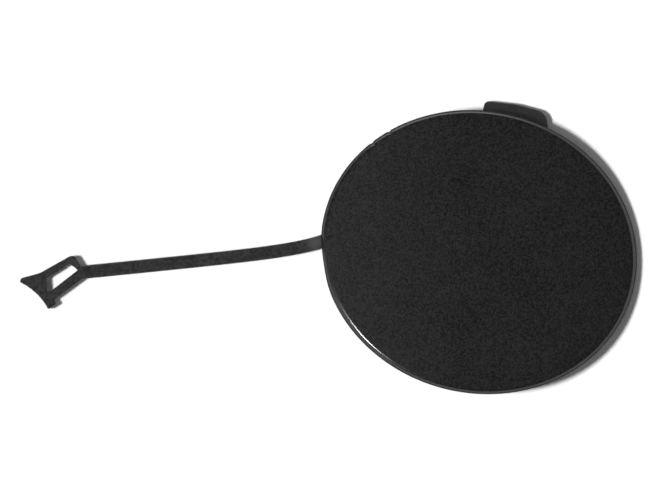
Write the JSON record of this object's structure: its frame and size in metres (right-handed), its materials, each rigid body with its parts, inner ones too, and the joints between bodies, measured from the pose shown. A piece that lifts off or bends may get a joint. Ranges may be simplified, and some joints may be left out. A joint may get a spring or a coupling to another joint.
{
  "type": "bumper tow hook cover",
  "caption": "Oval snap-in cover for a bumper's towing eye hole, moulded in one piece with a locating tongue, snap hooks and a tether strap with an anchor clip.",
  "frame": {"origin": "middle of the oval, on the small level land in the middle of the back of the bent face plate", "axes": "+Z out of the bumper through the front face, +X along the long axis of the oval away from the strap, +Y towards the locating tongue"},
  "size_m": [0.1511, 0.0785, 0.0084],
  "materials": {
    "black_plastic": "fine-grained satin black, as moulded and unpainted"
  },
  "bodies": {
    "root": {"cover": "black_plastic"}
  },
  "joints": []
}
